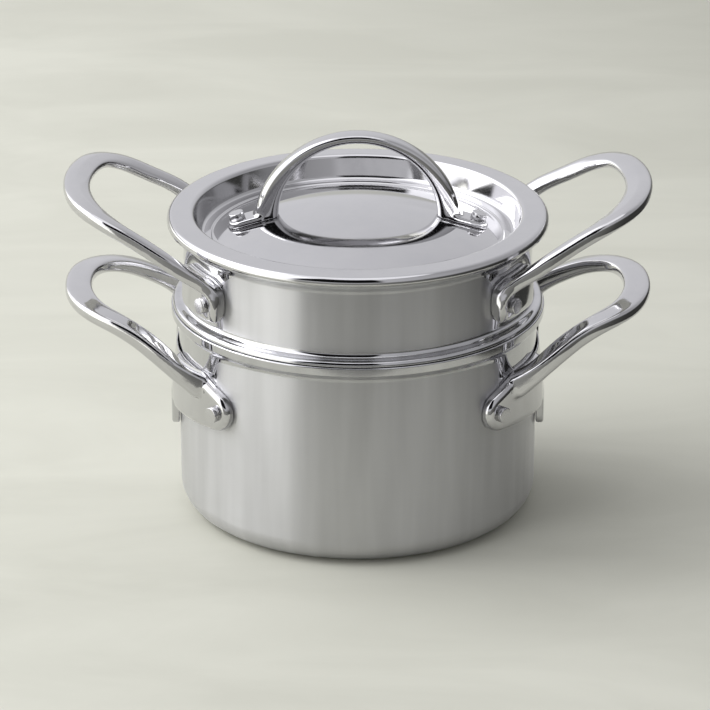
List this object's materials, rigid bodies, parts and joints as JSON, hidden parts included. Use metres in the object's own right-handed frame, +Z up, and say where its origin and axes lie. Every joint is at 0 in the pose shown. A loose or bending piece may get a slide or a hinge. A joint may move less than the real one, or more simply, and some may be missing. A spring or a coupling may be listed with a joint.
{
  "type": "double boiler",
  "caption": "Double boiler: a steel saucepan with looped side handles, an insert that hangs in its mouth and a domed lid with an arched handle.",
  "frame": {"origin": "centre of the pot's flat base, on the surface that it stands on", "axes": "+Z up along the common axis of pot, insert and lid; the loop handles point along +X and -X; the pictured side faces -Y"},
  "size_m": [0.2688, 0.1744, 0.1786],
  "materials": {
    "pot": "satin brushed wall, polished rim",
    "insert": "satin brushed wall, polished rim",
    "lid": "mirror polished",
    "handles": "mirror polished casting",
    "rivets": "polished"
  },
  "bodies": {
    "pot": {"pot_body": "pot", "pot_handle_right": "handles", "pot_handle_left": "handles", "pot_rivet_right_front": "rivets", "pot_rivet_right_back": "rivets", "pot_rivet_left_back": "rivets", "pot_rivet_left_front": "rivets"},
    "insert": {"insert_body": "insert", "insert_handle_right": "handles", "insert_handle_left": "handles", "insert_rivet_right_front": "rivets", "insert_rivet_right_back": "rivets", "insert_rivet_left_back": "rivets", "insert_rivet_left_front": "rivets"},
    "lid": {"lid_shell": "lid", "lid_handle": "handles", "lid_rivet_right": "rivets", "lid_rivet_left": "rivets"}
  },
  "joints": [
    {"name": "insert_lift", "type": "slide", "parent": "pot", "child": "insert", "axis": [0, 0, 1], "range_m": [0, 0.08]},
    {"name": "lid_lift", "type": "slide", "parent": "insert", "child": "lid", "axis": [0, 0, 1], "range_m": [0, 0.06]}
  ]
}
